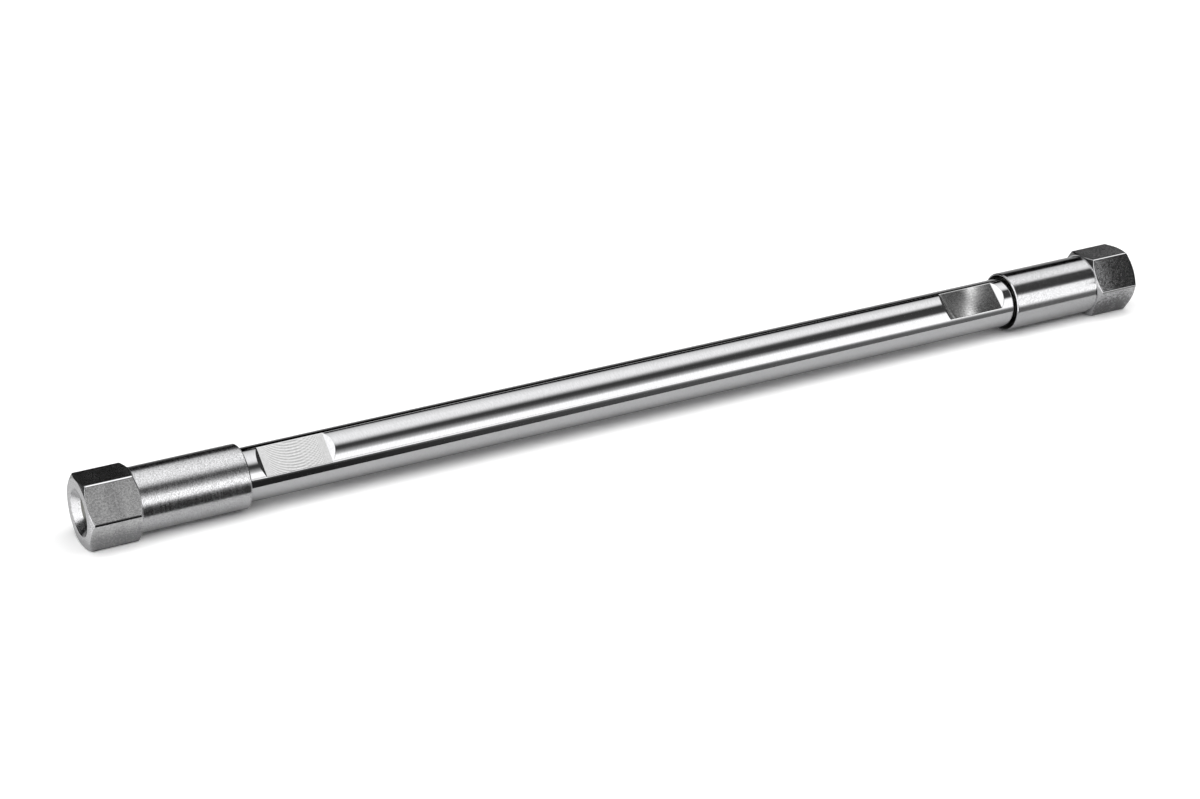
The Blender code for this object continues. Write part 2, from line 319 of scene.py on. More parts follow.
class Shader:
    """Builds the node tree of one material or world in few words."""

    def __init__(self, owner):
        owner.use_nodes = True
        self.owner = owner
        self.tree = owner.node_tree
        self.tree.nodes.clear()

    def feed(self, socket, value):
        if isinstance(value, bpy.types.NodeSocket):
            self.tree.links.new(value, socket)
        elif value is not None:
            socket.default_value = value

    def node(self, kind, settings=None, **inputs):
        """A node with some of its properties set, and values or links for inputs by name."""
        node = self.tree.nodes.new(kind)
        for name, value in (settings or {}).items():
            setattr(node, name, value)
        for name, value in inputs.items():
            self.feed(node.inputs[name.replace("_", " ")], value)
        return node

    def join(self, kind, *values, **settings):
        """The first output of a node whose first inputs take the values in order."""
        node = self.node(kind, settings)
        for socket, value in zip(node.inputs, values):
            self.feed(socket, value)
        return node.outputs[0]

    def math(self, operation, first, second=None):
        return self.join("ShaderNodeMath", first, second, operation=operation)

    plus = partialmethod(math, "ADD")
    minus = partialmethod(math, "SUBTRACT")
    times = partialmethod(math, "MULTIPLY")

    def remap(self, value, low, high, to_low=0.0, to_high=1.0, smooth=False):
        """Carries low to high over to to_low to to_high, and holds the value between them."""
        step = "SMOOTHSTEP" if smooth else "LINEAR"
        ranges = (low, high, to_low, to_high)
        return self.join("ShaderNodeMapRange", value, *ranges, interpolation_type=step)

    def rough(self, noise, low, high, top=0.7):
        """Roughness from low to high, as a noise goes from its usual least to its usual most."""
        return self.remap(noise, 0.3, top, low, high)

    def place(self):
        return self.node("ShaderNodeTexCoord").outputs["Object"]

    def axes(self, vector):
        """The vector's X, Y and Z."""
        return self.node("ShaderNodeSeparateXYZ", Vector=vector).outputs

    def turned_place(self):
        """Object coordinates in which X runs along the turned outline, so that marks are rings."""
        _, across, up = self.axes(self.place())
        along = self.node("ShaderNodeAttribute", {"attribute_name": TURNED}).outputs["Fac"]
        return self.join("ShaderNodeCombineXYZ", along, across, up)

    def noise(self, vector, scale, detail=2.0, roughness=0.5):
        """Noise round 0.5, of one scale or of a scale for each axis."""
        if isinstance(scale, tuple):
            vector = self.join("ShaderNodeVectorMath", vector, scale, operation="MULTIPLY")
            scale = 1.0
        grain = self.node("ShaderNodeTexNoise", Vector=vector, Scale=scale, Detail=detail)
        self.feed(grain.inputs["Roughness"], roughness)
        return grain.outputs["Fac"]

    def cells(self, scale):
        """Distance from the middle of the nearest cell of a Voronoi texture."""
        cells = self.node("ShaderNodeTexVoronoi", Vector=self.place(), Scale=scale)
        return cells.outputs["Distance"]

    def ramp(self, value, stops):
        """A grey ramp through (position, level) stops."""
        node = self.node("ShaderNodeValToRGB", Fac=value)
        elements = node.color_ramp.elements
        elements[0].position, elements[1].position = stops[0][0], stops[-1][0]
        for position, _ in stops[1:-1]:
            elements.new(position)
        for element, (_, level) in zip(elements, stops):
            element.color = (level, level, level, 1)
        return node.outputs["Color"]

    def blend(self, factor, first, second):
        """(1 - factor) first + factor second"""
        return self.plus(first, self.times(factor, self.minus(second, first)))

    def two_tones(self, factor, base, first, second):
        """The base colour times first where the factor is 0, and times second where it is 1."""
        node = self.node("ShaderNodeMix", {"data_type": "RGBA"}, Factor=factor)
        colours = [socket for socket in node.inputs if socket.type == "RGBA"]
        for socket, brightness in zip(colours, (first, second)):
            socket.default_value = [min(1.0, channel * brightness) for channel in base] + [1.0]
        return next(socket for socket in node.outputs if socket.type == "RGBA")

    def diffuse(self, base):
        return self.node("ShaderNodeBsdfDiffuse", Color=(*base, 1.0)).outputs[0]

    def output(self, kind, shader):
        """Joins a shader to the output, and gives back the finished material or world."""
        self.node(kind, Surface=shader)
        return self.owner

    def finish(self, base, roughness, height, bump_distance, metallic=1.0):
        """Joins colour, roughness and bump height to a Principled shader and the output."""
        shader = self.node("ShaderNodeBsdfPrincipled", Base_Color=base, Roughness=roughness)
        bump = self.node("ShaderNodeBump", Strength=1.0, Distance=bump_distance, Height=height)
        self.feed(shader.inputs["Metallic"], metallic)
        self.feed(shader.inputs["Normal"], bump.outputs["Normal"])
        return self.output("ShaderNodeOutputMaterial", shader.outputs["BSDF"])


def new_material(name):
    return Shader(bpy.data.materials.new(name))


def polished_steel(finish):
    """Ground and polished tube: fine marks round the tube, and faint blotches in its colour."""
    build = new_material("polished_steel")
    place = build.turned_place()
    fine = build.noise(place, (6500, 150, 150), 3.0, 0.6)
    broad = build.noise(place, (500, 40, 40))
    height = build.plus(fine, build.times(broad, 3.0))
    rough = finish.tube_roughness
    roughness = build.rough(fine, rough * 0.6, rough * 1.6, top=0.75)
    blotch = build.remap(build.noise(place, (4800, 1600, 1600), 3.0, 0.75), 0.35, 0.65)
    base = build.two_tones(blotch, finish.tube_colour, 0.95, 1.05)
    return build.finish(base, roughness, height, 0.6 * MICRON)


def turned_steel(finish, dullness, shade):
    """Turned finish of the nuts: tool marks round the sleeve, finer than the pitch of a thread.

    dullness multiplies the roughness and the grain, and shade the colour, as painted shade: the
    outlet's copy is a little darker.
    """
    build = new_material("turned_steel")
    place = build.turned_place()
    fine = build.noise(place, (5200, 130, 130), 3.0, 0.65)
    broad = build.noise(place, (800, 50, 50), 3.0)
    grain = build.noise(place, (7500, 5200, 5200), 2.0, 0.6)
    height = build.plus(fine, build.times(broad, 1.6))
    height = build.plus(height, build.times(grain, 0.3 * dullness))
    rough = finish.sleeve_roughness * dullness
    roughness = build.rough(fine, rough * 0.75, rough * 1.4, top=0.75)
    # shade darkens the outlet's copy a little: painted shade
    tones = shade * (1 - 0.2 * dullness), shade * (1 + 0.2 * dullness)
    base = build.two_tones(build.remap(grain, 0.35, 0.65), finish.sleeve_colour, *tones)
    return build.finish(base, roughness, height, 2.2 * MICRON)


def drawn_bar_steel(finish, brightness, speckle, spread):
    """The hexagon's flats as drawn: a fine matt grain with faint lengthwise lines, and mottled.

    brightness multiplies the colour, which makes the inlet's copy lighter and the outlet's darker,
    as painted light and shade. speckle is the scale of the mottling, and its contrast rises as
    spread falls. The flats are darker towards the underside, as painted shade.
    """
    build = new_material("drawn_bar_steel")
    place = build.place()
    grain = build.noise(place, 6000.0, 4.0, 0.75)
    lines = build.noise(place, (250, 4200, 4200))
    height = build.plus(grain, build.times(lines, 0.5))
    rough = finish.bar_roughness
    roughness = build.rough(grain, rough * 0.85, rough * 1.25)
    speck = build.noise(place, speckle, 3.0, 0.8)
    cloud = build.noise(place, (330, 90, 90))
    patch = build.plus(speck, build.times(cloud, 0.4))
    patch = build.remap(patch, 0.7 - spread, 0.7 + spread)
    # Painted shade: the flats darken towards the underside
    _, _, up = build.axes(place)
    low = build.remap(up, AXIS_HEIGHT - 3 * MM, AXIS_HEIGHT - 1 * MM, 0.40, -0.1)
    # brightness lightens the inlet's copy and darkens the outlet's: painted light and shade
    tones = 0.5 * brightness, 1.8 * brightness
    base = build.two_tones(build.minus(patch, low), finish.bar_colour, *tones)
    return build.finish(base, roughness, height, 5.5 * MICRON)


def bore_shade_steel(finish):
    """The nuts' threads and bores, dark as painted shade in these recesses."""
    build = new_material("bore_shade_steel")
    bore_mottle = build.noise(build.turned_place(), (1500, 300, 300), 3.0)
    base = build.two_tones(bore_mottle, finish.bore_shade_colour, 0.7, 1.5)
    return build.finish(base, build.rough(bore_mottle, 0.28, 0.42), bore_mottle, 4.0 * MICRON)


def burnished_steel_painted_shade(finish, painted_edge_shade):
    """The hexagon's long edges, rubbed bright and smooth, with painted shade darkening the lower
    ones.
    """
    build = new_material("burnished_steel_painted_shade")
    place = build.place()
    _, _, up = build.axes(place)
    dents = build.noise(place, (1500, 3000, 3000), 3.0, 0.6)
    # Painted shade: the edges below the top two are darkened, at the inlet nearly to black
    low = build.remap(up, AXIS_HEIGHT + 1 * MM, AXIS_HEIGHT + 2 * MM, painted_edge_shade, 0.0)
    base = build.two_tones(low, finish.edge_colour, 1.0, 0.06)
    return build.finish(base, build.rough(dents, 0.07, 0.16), dents, 2.0 * MICRON)


def milled_steel(finish, tube):
    """Milled flats: the arcs of an end mill as wide as the flat is long, at the pitch of its feed.

    With dx the distance along the tube from the flat's middle and t the distance across the flat,
    the leading edge cuts waves of (t + sqrt(radius squared - dx squared)) / feed, and the trailing
    edge fainter ones of (t - sqrt(radius squared - dx squared)) / feed. At the outlet the waves
    are fainter, the flecks are stronger, and the cut is slightly warped: its height falls by t
    times a row of humps along the tube.
    """
    build = new_material("milled_steel")
    place = build.place()
    x, y, z = build.axes(place)
    side = build.math("SIGN", x)
    dx = build.minus(x, build.times(side, TUBE_HALF_LENGTH - tube.flats_from_end))
    above = build.minus(z, AXIS_HEIGHT)
    sine, cosine = math.sin(tube.flats_tilt), math.cos(tube.flats_tilt)
    across = build.plus(build.times(y, sine), build.times(above, cosine))

    def by_end(at_inlet, at_outlet):
        """One value for the inlet's flat and another for the outlet's"""
        return build.remap(side, -1.0, 1.0, at_inlet, at_outlet)

    def hump(middle, width, slant):
        """exp(-((dx - middle - slant across) / width) squared)"""
        offset = build.minus(dx, build.times(across, slant))
        offset = build.math("DIVIDE", build.minus(offset, middle), width)
        return build.math("POWER", math.e, build.times(build.times(offset, offset), -1.0))

    under = build.minus(finish.mill_radius**2, build.times(dx, dx))
    reach = build.math("SQRT", build.math("MAXIMUM", under, 0.0))
    wander = build.times(build.noise(place, 500.0), 0.3 * finish.mill_feed)
    travel = build.plus(across, wander)
    turns = math.tau / finish.mill_feed
    leading = build.math("SINE", build.times(build.plus(travel, reach), turns))
    trailing = build.math("SINE", build.times(build.minus(travel, reach), turns))
    strong = build.remap(dx, -1 * MM, 3.5 * MM, 1.0, 0.4, smooth=True)
    faint = build.remap(dx, -3 * MM, 4 * MM, 0.05, 0.5, smooth=True)
    wave = build.plus(build.times(leading, strong), build.times(trailing, faint))
    ends = build.remap(build.math("ABSOLUTE", dx), 3.6 * MM, 4.8 * MM, 1.0, 0.0, smooth=True)
    wave = build.times(wave, ends)
    scratches = build.noise(place, 3000.0, 4.0, 0.7)
    marks = build.plus(wave, build.times(scratches, 1.2))
    marks = build.times(marks, by_end(3.2, 0.3))

    warp = build.times(hump(0.2 * MM, 3.0 * MM, 0.1), 0.55)
    warp = build.plus(warp, build.times(hump(0.0, 1.2 * MM, 0.15), 0.4))
    warp = build.plus(warp, build.times(hump(-4.6 * MM, 0.25 * MM, -0.2), 0.06))
    warp = build.times(build.times(warp, across), by_end(0.0, -0.08))
    height = build.plus(build.times(marks, MICRON), warp)

    fleck = build.minus(build.noise(place, 2800.0, 3.0, 0.8), 0.5)
    shade = build.plus(build.times(wave, by_end(1.0, 0.25)), 3.0)
    shade = build.plus(shade, build.times(fleck, by_end(6.0, 19.0)))
    base = build.two_tones(build.remap(shade, -2.5, 8.5), finish.milled_colour, 0.6, 1.4)
    return build.finish(base, build.rough(scratches, 0.09, 0.16), height, 1.0)


def sintered_steel(finish):
    """The frit: pressed steel powder with open pores, which are darker as painted shade."""
    build = new_material("sintered_steel")
    depth = build.cells(14000.0)
    base = build.two_tones(depth, finish.frit_colour, 1.2, 0.35)
    roughness = build.remap(depth, 0.0, 0.8, 0.5, 0.85)
    return build.finish(base, roughness, build.times(depth, -1.0), 20.0 * MICRON)


def seal_polymer(finish):
    """The seal rings: a machined tan polymer."""
    build = new_material("seal_polymer")
    place = build.place()
    marks = build.noise(place, (9000, 400, 400))
    cloud = build.noise(place, 900.0, 3.0)
    base = build.two_tones(cloud, finish.seal_colour, 0.94, 1.05)
    return build.finish(base, build.rough(marks, 0.38, 0.52), marks, 3.0 * MICRON, metallic=0.0)


def silica_packing(finish):
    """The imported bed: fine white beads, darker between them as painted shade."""
    build = new_material("silica_packing")
    depth = build.cells(20000.0)
    base = build.two_tones(depth, finish.packing_colour, 1.0, 0.82)
    roughness = build.remap(depth, 0.0, 0.8, 0.75, 0.95)
    height = build.times(depth, -1.0)
    return build.finish(base, roughness, height, 10.0 * MICRON, metallic=0.0)


def tube_angles(tube):
    """Angles round the tube, with more of them where the flats' long edges run.

    Also gives the angle of a flat's middle, and half the angle that a flat takes up.
    """
    half_flat = math.acos(tube.flats_across / 2 / TUBE_RADIUS)
    middle = math.pi - tube.flats_tilt
    edges = [middle + side + turn for side in (-half_flat, half_flat) for turn in (0, math.pi)]
    offsets = np.radians([-2.4, -1.0, 0.0, 1.0, 2.4])
    extra = np.concatenate([edge + offsets for edge in edges]) % math.tau
    plain = np.arange(TUBE_SIDES) * math.tau / TUBE_SIDES
    gap = np.abs((plain[:, None] - extra[None, :] + math.pi) % math.tau - math.pi).min(axis=1)
    return np.sort(np.concatenate([plain[gap > np.radians(0.9)], extra])), middle, half_flat


def build_tube(tube, finish):
    """The tube's outline, from its inlet end along the outside and back through the bore.

    A flat's floor lies at half the distance across flats, so its radius at an angle is that
    distance over the cosine of the angle from the flat's middle. Its shoulder reaches past the
    floor by the depth of the cut at that angle, over the tangent of the shoulder's slope.
    """
    angles, middle, half_flat = tube_angles(tube)
    facing = np.abs(np.cos(angles - middle))
    floor = tube.flats_across / 2
    floor_radius = np.minimum(TUBE_RADIUS, floor / np.maximum(facing, 0.1))
    depth = np.maximum(0, TUBE_RADIUS * facing - floor)
    depth = np.where(facing < math.cos(half_flat) + SKIN, 0, depth)
    shoulder = depth / math.tan(tube.shoulder_slope)
    ones = np.ones_like(angles)

    def knot(along, radius):
        return row_of(along * ones, radius * ones), tube.edge_radius

    end = TUBE_HALF_LENGTH
    thread_start = end - tube.thread_length
    relief_start = thread_start - tube.relief_width
    relief = TUBE_RADIUS - tube.relief_depth
    flat_middle = end - tube.flats_from_end
    flat_out = flat_middle + tube.flats_length / 2
    flat_in = flat_middle - tube.flats_length / 2
    relief_slope = bore_chamfer = 0.2 * MM

    # The outlet half, outwards. The inlet half is its mirror image
    half = [
        knot(flat_in - shoulder, TUBE_RADIUS),
        knot(flat_in, floor_radius),
        knot(flat_out, floor_radius),
        knot(flat_out + shoulder, TUBE_RADIUS),
        knot(relief_start, TUBE_RADIUS),
        knot(relief_start, relief),
        knot(thread_start - relief_slope, relief),
    ]
    tip = [
        knot(end - tube.end_chamfer, TUBE_RADIUS),
        knot(end, TUBE_RADIUS - tube.end_chamfer),
        knot(end, tube.bore_radius + bore_chamfer),
        knot(end - bore_chamfer, tube.bore_radius),
    ]

    def mirrored(group):
        return [(item * np.array([-1.0, 1.0]), radius) for item, radius in reversed(group)]

    def thread_rows(side):
        """Rows from the relief groove to the end chamfer, on one side.

        The thread rises out of the groove and falls off to the chamfer over one run-out each.
        """
        crest_cut, run_out = 0.1 * MM, 0.3 * MM
        first, last = thread_start - 0.1 * MM, end - tube.end_chamfer - 0.05 * MM
        along = side * thread_places(first, last, tube.thread_pitch) * ones
        root = TUBE_RADIUS - tube.thread_depth
        radius = root + tube.thread_depth * thread_height(along, angles, tube.thread_pitch)
        chamfer = TUBE_RADIUS - crest_cut - np.maximum(0, np.abs(along) - last + run_out)
        start = relief + (TUBE_RADIUS - relief) * ease(np.abs(along), first, first + run_out)
        radius = np.minimum(np.minimum(radius, start), np.maximum(chamfer, root))
        return list(row_of(along, radius))

    outlet_thread, inlet_thread = thread_rows(1), thread_rows(-1)[::-1]
    in_bore = tip[-1][0] * np.array([0.5, 1.0])
    rows = rounded_outline(mirrored(tip), in_bore, inlet_thread[0]) + inlet_thread
    rows += rounded_outline(mirrored(half) + half, inlet_thread[-1], outlet_thread[0])
    rows += outlet_thread + rounded_outline(tip, outlet_thread[-1], in_bore)

    grid = np.stack(rows)
    next_grid = np.roll(grid, -1, axis=0)
    cell_along = np.abs(grid[..., 0] + next_grid[..., 0]) / 2
    on_floor = (cell_along > flat_in) & (cell_along < flat_out)
    cell_facing = (facing + np.roll(facing, -1)) / 2
    outside = (grid[..., 1] + next_grid[..., 1]) / 2 > (tube.bore_radius + 0.5 * MM)
    marks = (on_floor & outside & (cell_facing > math.cos(half_flat))[None, :]).astype(np.int32)
    materials = [polished_steel(finish), milled_steel(finish, tube)]
    return grid_piece("column_tube_skin", rows, angles, marks, materials)


def corner_centre(nut):
    """Distance from the axis to the middle of the circle that rounds a corner of the hexagon."""
    return (HEX_ACROSS_FLATS / 2 - nut.corner_radius) / math.cos(SIXTH / 2)


def corner_turn(nut):
    """Half the angle, seen from the axis, that a rounded corner of the hexagon takes up."""
    half = nut.corner_radius / 2
    return math.atan2(half, corner_centre(nut) + nut.corner_radius * math.cos(SIXTH / 2))


def from_corner(angles):
    """Angle to the hexagon's nearest corner. The corners lie at 0, 60, 120..."""
    return np.abs((angles + SIXTH / 2) % SIXTH - SIXTH / 2)


def hexagon_angles(nut):
    """Angles round the nut: evenly spaced over each flat, and closer at the rounded corners."""
    turn = np.radians(np.linspace(-30, 30, 7))
    corner = np.arctan2(
        nut.corner_radius * np.sin(turn), corner_centre(nut) + nut.corner_radius * np.cos(turn)
    )
    hold = corner[-1] + math.radians(0.3)
    corner = np.concatenate([[-hold], corner, [hold]])
    flat = np.radians(np.linspace(-30, 30, SIDES_PER_FLAT + 1)[1:-1])
    flat = flat[np.abs(flat) < SIXTH / 2 - hold - math.radians(0.4)]
    parts = []
    for side in range(6):
        parts += [side * SIXTH + corner, side * SIXTH + SIXTH / 2 + flat]
    return np.sort(np.concatenate(parts) % math.tau)


def hexagon_radius(nut, angles):
    """Distance from the axis to a hexagon with rounded corners.

    Along a flat it is the half width over the cosine of the angle from the flat's middle. Near a
    corner it is the far side of a circle that touches both flats.
    """
    turn = from_corner(angles)
    flat = HEX_ACROSS_FLATS / 2 / np.cos(SIXTH / 2 - turn)
    centre = corner_centre(nut)
    inside = nut.corner_radius**2 - (centre * np.sin(turn)) ** 2
    arc = centre * np.cos(turn) + np.sqrt(np.maximum(inside, 0))
    return np.where(turn < corner_turn(nut), arc, flat)


def build_nut(name, side, nut, tube, materials):
    """The nut's outline, from the port's mouth over the outside and back through its bores.

    side is -1 for the inlet and 1 for the outlet. Depths are counted from the nut's outer face.
    The materials are the turned, drawn and burnished steel, and the bores' steel, whose darkness is
    painted shade.
    """
    angles = hexagon_angles(nut)
    hexagon = hexagon_radius(nut, angles)
    ones = np.ones_like(angles)
    face = HEX_ACROSS_FLATS / 2 - nut.face_margin
    chamfer = (hexagon - face) * math.tan(nut.chamfer_slope)
    soft, sharp = nut.edge_radius, 0.03 * MM

    def knot(depth, radius, rounding=soft):
        return row_of(depth * ones, radius * ones), rounding

    outside = [
        knot(0, nut.port_mouth_radius, 0.08 * MM),
        knot(0, face),
        knot(chamfer, hexagon, 0.12 * MM),
        knot(nut.hex_length - chamfer, hexagon, 0.12 * MM),
        knot(nut.hex_length, face),
        knot(nut.hex_length, nut.sleeve_radius),
        knot(NUT_LENGTH - nut.sleeve_chamfer, nut.sleeve_radius),
        knot(NUT_LENGTH, nut.sleeve_radius - nut.sleeve_chamfer),
        knot(NUT_LENGTH, nut.guide_radius + nut.mouth_chamfer, sharp),
        knot(NUT_LENGTH - nut.mouth_chamfer, nut.guide_radius),
        knot(NUT_LENGTH - nut.guide_depth, nut.guide_radius),
    ]
    cone_start = nut.port_thread_end + nut.port_radius - nut.cone_radius
    pilot_start = cone_start + nut.cone_length
    fine_start = pilot_start + nut.pilot_length
    inside = [
        knot(nut.chamber_end, nut.chamber_radius),
        knot(nut.chamber_start, nut.chamber_radius),
        knot(nut.chamber_start, nut.spreader_radius),
        knot(nut.chamber_start - nut.spreader_depth, nut.fine_hole_radius, sharp),
        knot(fine_start, nut.fine_hole_radius, sharp),
        knot(fine_start, nut.pilot_radius),
        knot(pilot_start, nut.pilot_radius),
        knot(cone_start, nut.cone_radius),
        knot(nut.port_thread_end, nut.port_radius),
    ]

    def thread(first, last, pitch):
        """Depths along a thread, and its height there."""
        depth = thread_places(first, last, pitch) * ones
        return depth, thread_height(side * (HALF_LENGTH - depth), angles, pitch)

    # The tube's thread, with a gap to it, from the guide bore down to the chamber
    guide_end = NUT_LENGTH - nut.guide_depth
    depth, height = thread(guide_end - 0.02 * MM, nut.chamber_end, tube.thread_pitch)
    radius = TUBE_RADIUS - tube.thread_depth + tube.thread_depth * height + nut.thread_gap
    opening = nut.guide_radius - (guide_end - depth)
    tube_thread = list(row_of(depth, np.maximum(radius, opening)))

    # The port's thread, cut away by the countersink at its mouth
    depth, height = thread(nut.port_thread_end - 0.05 * MM, 0.8 * MM, nut.port_pitch)
    tall = nut.port_radius - nut.port_crest_radius
    radius = nut.port_radius - tall * (1 - height)
    run_out = nut.port_thread_end - 0.5 * MM
    fading = nut.port_crest_radius + tall * ease(depth, run_out, run_out + 0.4 * MM)
    radius = np.maximum(np.maximum(radius, fading), nut.port_mouth_radius - depth)
    port_thread = list(row_of(depth, radius))

    rows = rounded_outline(outside, port_thread[-1], tube_thread[0]) + tube_thread
    rows += rounded_outline(inside, tube_thread[-1], port_thread[0]) + port_thread

    # The flats lie between the roundings of the outside's knots 2 and 3. The bores begin at the
    # middle of knot 9 and are darkened as painted shade, all but the countersink, as bright as the
    # outside
    flats = slice(2 * ROWS_PER_KNOT + 5, 3 * ROWS_PER_KNOT + 1)
    bores = 9 * ROWS_PER_KNOT + 3
    middle = (angles + np.roll(angles, -1)) / 2
    middle[-1] = angles[-1] + (angles[0] + math.tau - angles[-1]) / 2
    turned, drawn, burnished, bore_shade = range(len(materials))
    marks = np.full((len(rows), len(angles)), turned, np.int32)
    marks[flats] = np.where(from_corner(middle) > corner_turn(nut), drawn, burnished)
    countersink = np.array([row[:, 1].mean() for row in rows]) > nut.port_radius + 0.02 * MM
    countersink[: -len(port_thread)] = False
    marks[(np.arange(len(rows)) >= bores) & ~countersink] = bore_shade
    rows = [row_of(side * (HALF_LENGTH - row[:, 0]), row[:, 1]) for row in rows]
    return grid_piece(name, rows, angles, marks, materials)


class COLUMN_OT_tube(Operator):
    """Build the polished tube with its milled flats and threaded ends"""

    bl_idname = "column.tube"
    bl_label = "Column tube"

    def execute(self, context):
        scene = context.scene
        piece = build_tube(scene.column_tube, scene.column_finish)
        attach(piece, "column")
        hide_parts("column_tube")
        return {"FINISHED"}


# Each nut's side, the looks of its turned and of its drawn steel, and the painted shade on its
# lower edges. The turned steel's shade and the drawn steel's brightness make a lighter inlet and
# a darker outlet copy of the same steel, as painted light and shade
NUT_LOOKS = {
    "inlet": (
        -1, {"dullness": 1.35, "shade": 1.0},
        {"brightness": 1.25, "speckle": 3500.0, "spread": 0.19}, 1.0,
    ),
    "outlet": (
        1, {"dullness": 0.8, "shade": 0.95},
        {"brightness": 0.67, "speckle": 2700.0, "spread": 0.14}, 0.6,
    ),
}


class COLUMN_OT_end_nuts(Operator):
    """Build both end nuts with their hexagons, sleeves, ports and threads"""

    bl_idname = "column.end_nuts"
    bl_label = "End nuts"

    def execute(self, context):
        scene = context.scene
        finish = scene.column_finish
        for end, (side, turned, drawn, painted_edge_shade) in NUT_LOOKS.items():
            materials = [
                turned_steel(finish, **turned),
                drawn_bar_steel(finish, **drawn),
                burnished_steel_painted_shade(finish, painted_edge_shade),
                bore_shade_steel(finish),
            ]
            piece = build_nut(
                end + "_end_nut_skin", side, scene.column_nut, scene.column_tube, materials
            )
            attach(piece, end + "_nut")
            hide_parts(end + "_end_nut")
        return {"FINISHED"}


class COLUMN_OT_inner_pieces(Operator):
    """Give the frits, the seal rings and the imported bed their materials"""

    bl_idname = "column.inner_pieces"
    bl_label = "Frits, seal rings and bed"

    def execute(self, context):
        finish = context.scene.column_finish
        steel, polymer = sintered_steel(finish), seal_polymer(finish)
        dress = {"packed_bed": silica_packing(finish)}
        for end in ("inlet", "outlet"):
            dress[end + "_frit"] = steel
            dress[end + "_seal_ring"] = polymer
        for node, material in dress.items():
            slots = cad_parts[node].data.materials
            slots.clear()
            slots.append(material)
        return {"FINISHED"}


# The floor and the board lie just under the column, and the flag is nearly black
FLOOR_HALF_WIDTH = 3.0
FLOOR_HEIGHT = -0.00002
BOARD_HEIGHT = -0.00001
BOARD_PAST_OUTLET = 10 * MM
FLAG_LEVEL = 0.06
# What the steel reflects: brightness of the studio against the angle round the column, in degrees
# from level in front (0), over the top (90) and level behind (180) to straight below (-90)
STRIPS = (
    (-180, 0.30), (-172, 0.40), (-164, 0.48), (-50, 0.55), (-41, 0.02), (-18, 0.02),
    (-12, 0.17), (-5, 0.80), (1, 1.54), (19.5, 1.47), (25.5, 0.69), (31, 0.39), (37, 0.21),
    (43, 0.08), (54, 0.05), (59, 0.11), (65, 0.44), (70, 0.80), (75, 1.06), (82, 1.20),
    (98, 1.22), (112, 1.05), (124, 0.84), (128, 0.64), (131, 0.34), (133, 0.07), (135, 0.00),
    (160, 0.00), (164, 0.05), (170, 0.16), (180, 0.30),
)
# How far those angles shift, in degrees per unit of the direction's X part: at the given angle, on
# the inlet's side of SKEW_MIDDLE and on the outlet's
SKEWS = (
    (-180, -36, -80), (-150, 0, 0), (-44, 20, 20), (-22, 0, 0), (-8, -46, -46), (8, 0, 0),
    (28, -10, 75), (34, -16, 78), (42, -4, -30), (52, 20, 10), (60, 26, 80), (66, 28, 130),
    (74, 28, 112), (84, 28, 68), (98, 14, 24), (137, -30, -25), (168, -28, -80), (180, -36, -80),
)
# X part at which nothing shifts, how far to each side of it the shift grows, and what the skews are
# divided by for their ramps
SKEW_MIDDLE = 0.44
SKEW_REACH = 0.2
SKEW_SCALE = 100.0
# The pale floor behind the inlet end, which the inlet's end face reflects
FLOOR_BEHIND = ((-180, 0.42), (-135, 0.42), (-110, 0.0), (165, 0.0), (180, 0.42))
# A haze low in front, towards the outlet end
FRONT_HAZE = ((-180, 0.0), (-44, 0.0), (-34, 0.14), (-18, 0.14), (-2, 0.0), (180, 0.0))
# What lights the floor and the other dull surfaces: a soft overhead light, a little to the front
SOFT_LIGHT = (
    (-180, 0.25), (0, 0.25), (20, 0.50), (36, 1.40), (55, 1.50), (75, 2.10), (92, 2.10),
    (112, 0.60), (125, 0.30), (180, 0.25),
)


def angle_ramp(build, turn, table, brightest=1.0):
    """A ramp over the angle round the column; turn is that angle from 0 at -180 to 1 at 180.

    The ramp holds the levels as shares of the brightest.
    """
    stops = [((degrees + 180) / 360, level / brightest) for degrees, level in table]
    return build.times(build.ramp(turn, stops), brightest)


def steel_light(build, axes, turn):
    """What the steel reflects in a direction, whose X, Y and Z parts the axes give.

    The strips along the column shift with the direction's X part, and are darker towards the
    inlet. Beyond them, each end of the studio has a light or a darkness of its own.
    """
    x, y, z = axes
    shifted = turn
    for column, side in ((1, -SKEW_REACH), (2, SKEW_REACH)):
        skews = [(row[0], 0.5 + row[column] / SKEW_SCALE / 2) for row in SKEWS]
        skew = build.minus(angle_ramp(build, turn, skews), 0.5)
        skew = build.times(skew, 2 * SKEW_SCALE / 360)
        (start, at_start), (end, at_end) = sorted(((SKEW_MIDDLE, 0.0), (SKEW_MIDDLE + side, side)))
        reach = build.remap(x, start, end, at_start, at_end)
        shifted = build.minus(shifted, build.times(skew, reach))
    light = angle_ramp(build, build.math("FRACT", shifted), STRIPS, brightest=1.6)
    light = build.times(light, build.remap(x, 0.0, 0.24, 0.78, 1.0))

    to_inlet = build.times(x, -1.0)
    behind = angle_ramp(build, turn, FLOOR_BEHIND)
    light = build.plus(light, build.times(behind, build.remap(to_inlet, 0.0, 0.4)))
    haze = angle_ramp(build, turn, FRONT_HAZE)
    light = build.plus(light, build.times(haze, build.remap(x, 0.34, 0.56)))

    # The inlet end is light below, and above that it is light in front and dark behind
    inlet_end = build.remap(to_inlet, 0.55, 0.72, smooth=True)
    below = build.remap(y, -0.35, 0.10, 1.5, 0.86, smooth=True)
    above = build.remap(y, 0.02, 0.12, 1.6, 0.04, smooth=True)
    rise = build.remap(z, -0.03, 0.06, smooth=True)
    light = build.blend(inlet_end, light, build.blend(rise, below, above))
    outlet_end = build.remap(x, 0.68, 0.82, smooth=True)
    return build.blend(outlet_end, light, 0.05)


